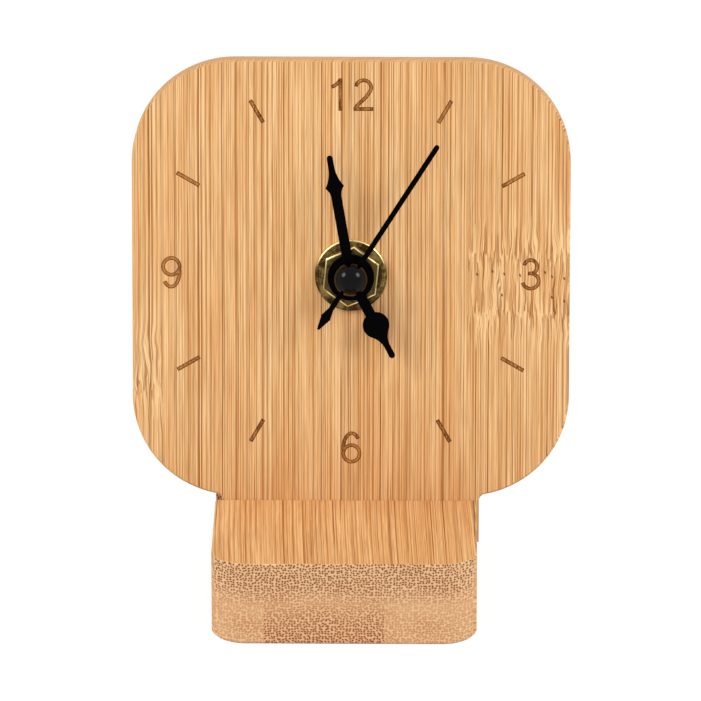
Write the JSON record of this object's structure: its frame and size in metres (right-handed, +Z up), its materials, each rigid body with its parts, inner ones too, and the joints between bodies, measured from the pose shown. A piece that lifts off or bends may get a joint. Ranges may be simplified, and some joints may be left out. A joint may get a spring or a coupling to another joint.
{
  "type": "wooden desk clock",
  "caption": "Rounded-square bamboo dial panel leaning back in a slotted bamboo base block, with spade hands, a domed hub cap and a plain quartz movement behind.",
  "frame": {"origin": "centre of the base block's underside", "axes": "+Z up, dial faces -Y and leans back, +X to the right of someone facing the dial"},
  "size_m": [0.1, 0.0746, 0.1205],
  "materials": {
    "bamboo_panel": "vertical-grain laminated bamboo, sanded, clear satin oil, laser-burnt marks",
    "bamboo_base": "laminated bamboo block, end grain on the front and back, sanded, satin oil",
    "aged_brass": "plain brass, lightly tarnished",
    "black_hand": "thin sheet, satin black paint",
    "black_gloss": "polished black plastic",
    "case_plastic": "moulded black plastic, fine texture",
    "white_plastic": "natural moulded acetal",
    "black_rubber": "plain moulded rubber",
    "plain_steel": "plated sheet",
    "copper_wire": "fine enamelled copper wire, wound",
    "board_green": "printed circuit board",
    "cell_sleeve": "plain sleeve with no label"
  },
  "bodies": {
    "base": {"base_block": "bamboo_base"},
    "panel": {"dial_panel": "bamboo_panel", "gasket": "black_rubber", "dial_washer": "aged_brass", "hex_nut": "aged_brass", "threaded_bush": "aged_brass", "movement_tray": "case_plastic", "rear_cover": "case_plastic", "train_bridge": "white_plastic", "circuit_board": "board_green", "crystal_can": "plain_steel", "stator": "plain_steel", "coil_bobbin": "white_plastic", "coil_winding": "copper_wire", "contact_negative": "plain_steel", "contact_positive": "plain_steel"},
    "battery": {"battery_cell": "cell_sleeve"},
    "rotor_arbor": {"rotor": "white_plastic"},
    "fifth_arbor": {"fifth_wheel": "white_plastic"},
    "seconds": {"second_wheel": "white_plastic", "second_hand": "black_hand", "hub_cap": "black_gloss"},
    "third_arbor": {"third_wheel": "white_plastic"},
    "centre": {"centre_wheel": "white_plastic"},
    "minutes": {"cannon_pinion": "white_plastic", "minute_hand": "black_hand"},
    "minute_work": {"minute_work_wheel": "white_plastic"},
    "hours": {"hour_wheel": "white_plastic", "hour_hand": "black_hand"},
    "setting": {"setting_knob": "case_plastic"}
  },
  "joints": [
    {"name": "panel_lift", "type": "slide", "parent": "base", "child": "panel", "axis": [0, 0.1564, 0.9877], "range_m": [0, 0.0098]},
    {"name": "battery_slide", "type": "slide", "parent": "panel", "child": "battery", "axis": [0, 0.9877, -0.1564], "range_m": [0, 0.016]},
    {"name": "second_turn", "type": "hinge", "parent": "panel", "child": "seconds", "pos_m": [0.00115, 0.01736, 0.07163], "axis": [0, 0.9877, -0.1564], "continuous": true},
    {"name": "rotor_turn", "type": "hinge", "parent": "panel", "child": "rotor_arbor", "pos_m": [0.01121, 0.01938, 0.08443], "axis": [0, 0.9877, -0.1564], "continuous": true},
    {"name": "fifth_turn", "type": "hinge", "parent": "panel", "child": "fifth_arbor", "pos_m": [0.00894, 0.01806, 0.07608], "axis": [0, 0.9877, -0.1564], "continuous": true},
    {"name": "third_turn", "type": "hinge", "parent": "panel", "child": "third_arbor", "pos_m": [-0.00664, 0.01806, 0.07608], "axis": [0, 0.9877, -0.1564], "continuous": true},
    {"name": "centre_turn", "type": "hinge", "parent": "panel", "child": "centre", "pos_m": [0.00115, 0.01736, 0.07163], "axis": [0, 0.9877, -0.1564], "continuous": true},
    {"name": "minute_turn", "type": "hinge", "parent": "panel", "child": "minutes", "pos_m": [0.00115, 0.01736, 0.07163], "axis": [0, 0.9877, -0.1564], "continuous": true},
    {"name": "minute_work_turn", "type": "hinge", "parent": "panel", "child": "minute_work", "pos_m": [-0.00785, 0.01736, 0.07163], "axis": [0, 0.9877, -0.1564], "continuous": true},
    {"name": "hour_turn", "type": "hinge", "parent": "panel", "child": "hours", "pos_m": [0.00115, 0.01736, 0.07163], "axis": [0, 0.9877, -0.1564], "continuous": true},
    {"name": "setting_turn", "type": "hinge", "parent": "panel", "child": "setting", "pos_m": [-0.01685, 0.01736, 0.07163], "axis": [0, 0.9877, -0.1564], "continuous": true}
  ],
  "couplings": [
    {"joint": "fifth_turn", "follows": "second_turn", "ratio": -5},
    {"joint": "rotor_turn", "follows": "second_turn", "ratio": 30},
    {"joint": "third_turn", "follows": "second_turn", "ratio": -0.13333},
    {"joint": "centre_turn", "follows": "second_turn", "ratio": 0.016667},
    {"joint": "minute_work_turn", "follows": "minute_turn", "ratio": -0.33333},
    {"joint": "hour_turn", "follows": "minute_turn", "ratio": 0.083333},
    {"joint": "setting_turn", "follows": "minute_turn", "ratio": 1}
  ]
}
